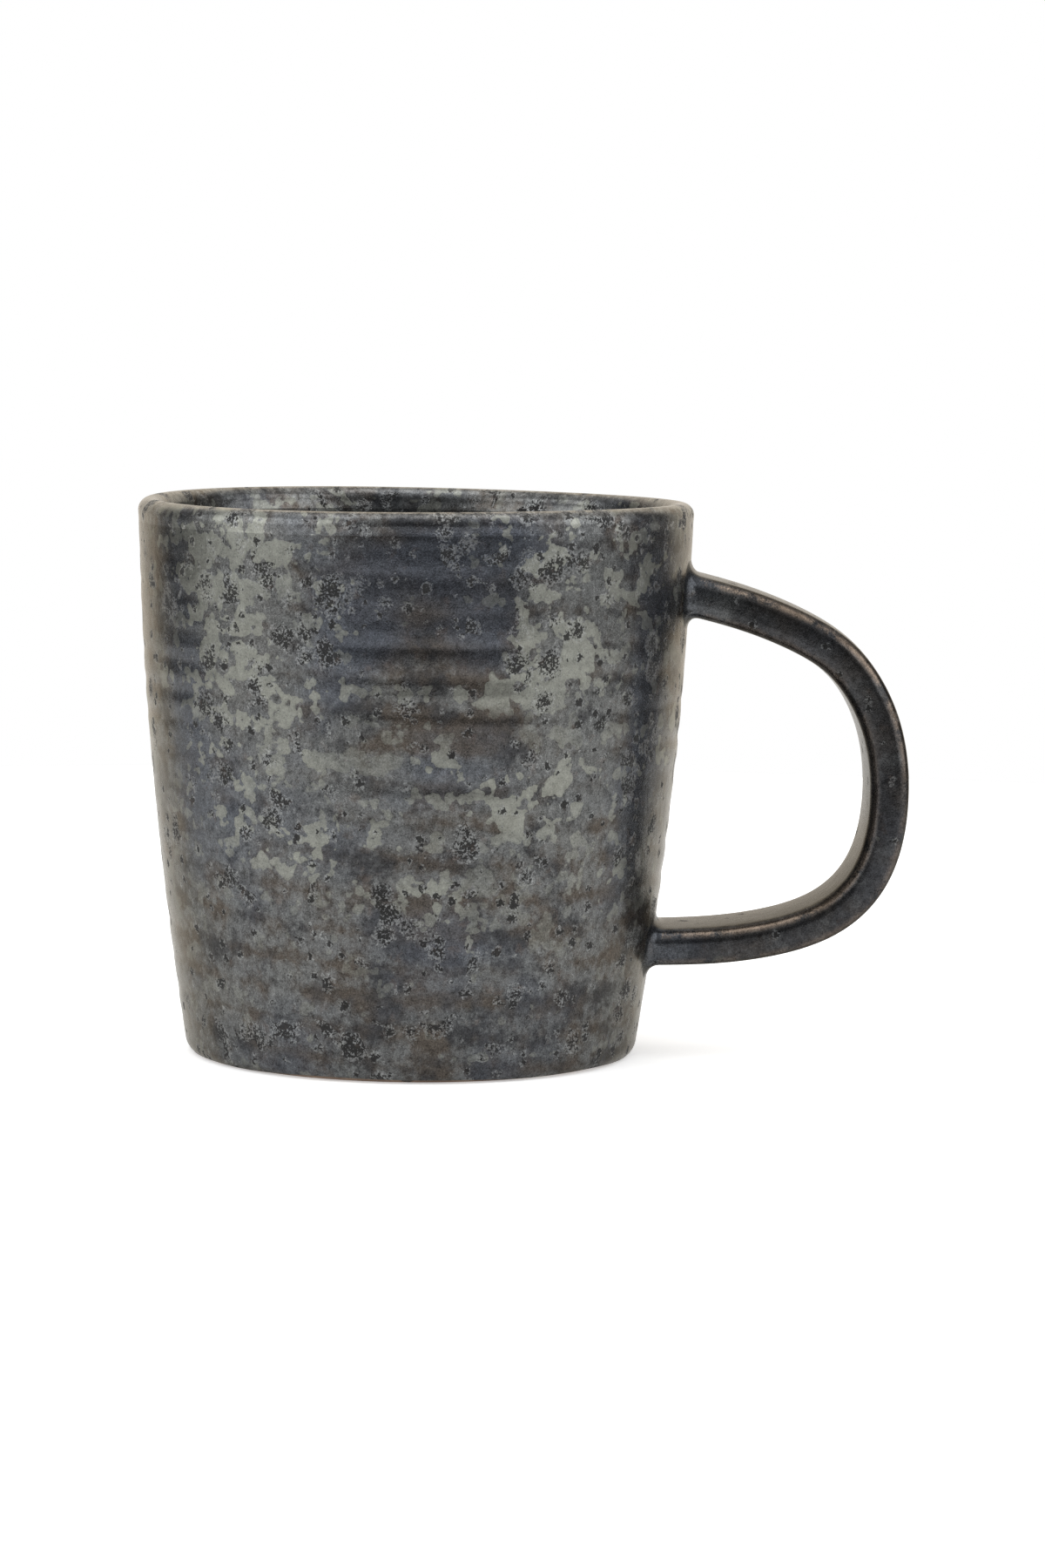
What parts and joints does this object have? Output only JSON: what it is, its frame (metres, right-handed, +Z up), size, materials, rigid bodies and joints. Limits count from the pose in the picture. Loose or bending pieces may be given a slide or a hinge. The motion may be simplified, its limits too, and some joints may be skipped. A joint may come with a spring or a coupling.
{
  "type": "ceramic mug",
  "caption": "Tapered stoneware mug with throwing marks, rounded lip, turned foot ring and a wide D-shaped strap handle, in a mottled metallic charcoal glaze.",
  "frame": {"origin": "centre of the plane that the foot ring rests on, on the axis of the cup", "axes": "+Z up along the axis of the cup, +X towards the handle, which is symmetric about the XZ plane"},
  "size_m": [0.1251, 0.09, 0.09],
  "materials": {
    "bare_clay": "matte bare brown stoneware",
    "handle_clay": "matte bare brown stoneware",
    "slip": "matte fired slip",
    "body_glaze": "satin metallic reactive glaze, mottled graphite and grey, pitted",
    "rim_glaze": "satin metallic reactive glaze, thinned to brown over the lip",
    "liner_glaze": "satin metallic reactive glaze, mottled",
    "handle_glaze": "satin metallic reactive glaze, charcoal, brown on the worn edges"
  },
  "bodies": {
    "root": {"clay_body": "bare_clay", "handle_clay": "handle_clay", "upper_slip_joint": "slip", "lower_slip_joint": "slip", "outer_glaze": "body_glaze", "rim_glaze": "rim_glaze", "inner_glaze": "liner_glaze", "handle_glaze": "handle_glaze"}
  },
  "joints": []
}
